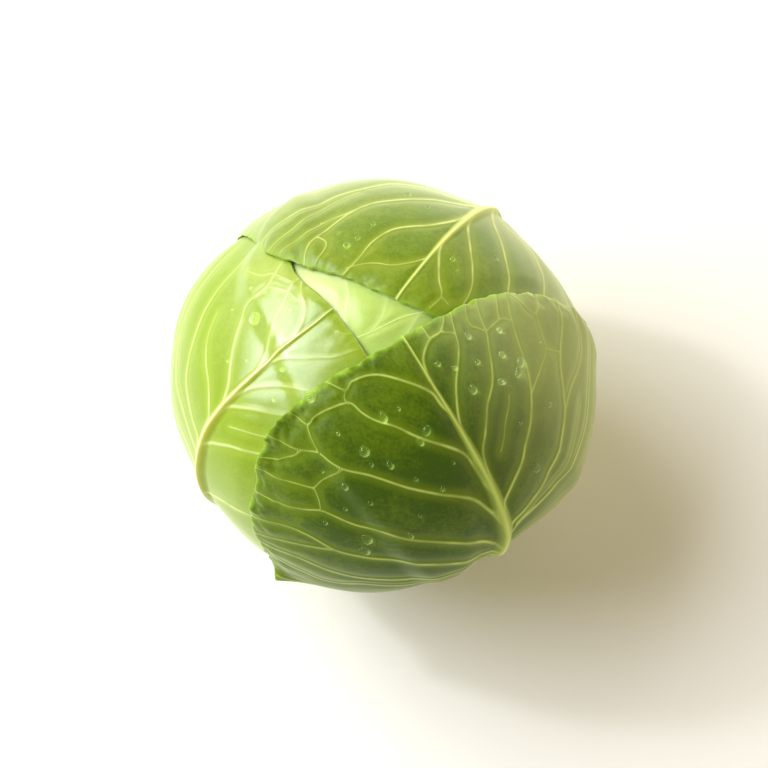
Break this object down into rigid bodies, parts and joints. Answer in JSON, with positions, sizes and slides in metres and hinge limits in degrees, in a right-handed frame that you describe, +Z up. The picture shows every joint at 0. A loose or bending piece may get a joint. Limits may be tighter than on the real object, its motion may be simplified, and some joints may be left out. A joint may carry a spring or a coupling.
{
  "type": "cabbage head",
  "caption": "Round head of green cabbage standing on its cut stem, with veined wrapper leaves lapped in layers over a tight heart.",
  "frame": {"origin": "centre of the stem's flat cut face, on which the head stands", "axes": "+Z up from the cut stem through the crown; -Y towards the front leaf and the viewer of the reference view, +X to that viewer's right"},
  "size_m": [0.1713, 0.1677, 0.1501],
  "materials": {
    "cut_stem": "moist cut plant stem, matt",
    "heart_leaf": "waxy pale leaf, satin",
    "inner_leaf": "waxy pale green leaf, satin",
    "left_leaf": "waxy light green leaf, glossy",
    "rear_leaf": "waxy mid green leaf, satin",
    "front_leaf": "waxy dark green leaf, satin"
  },
  "bodies": {
    "root": {"stem": "cut_stem", "heart": "heart_leaf", "leaf_inner": "inner_leaf", "leaf_left": "left_leaf", "leaf_rear": "rear_leaf", "leaf_front": "front_leaf"}
  },
  "joints": []
}
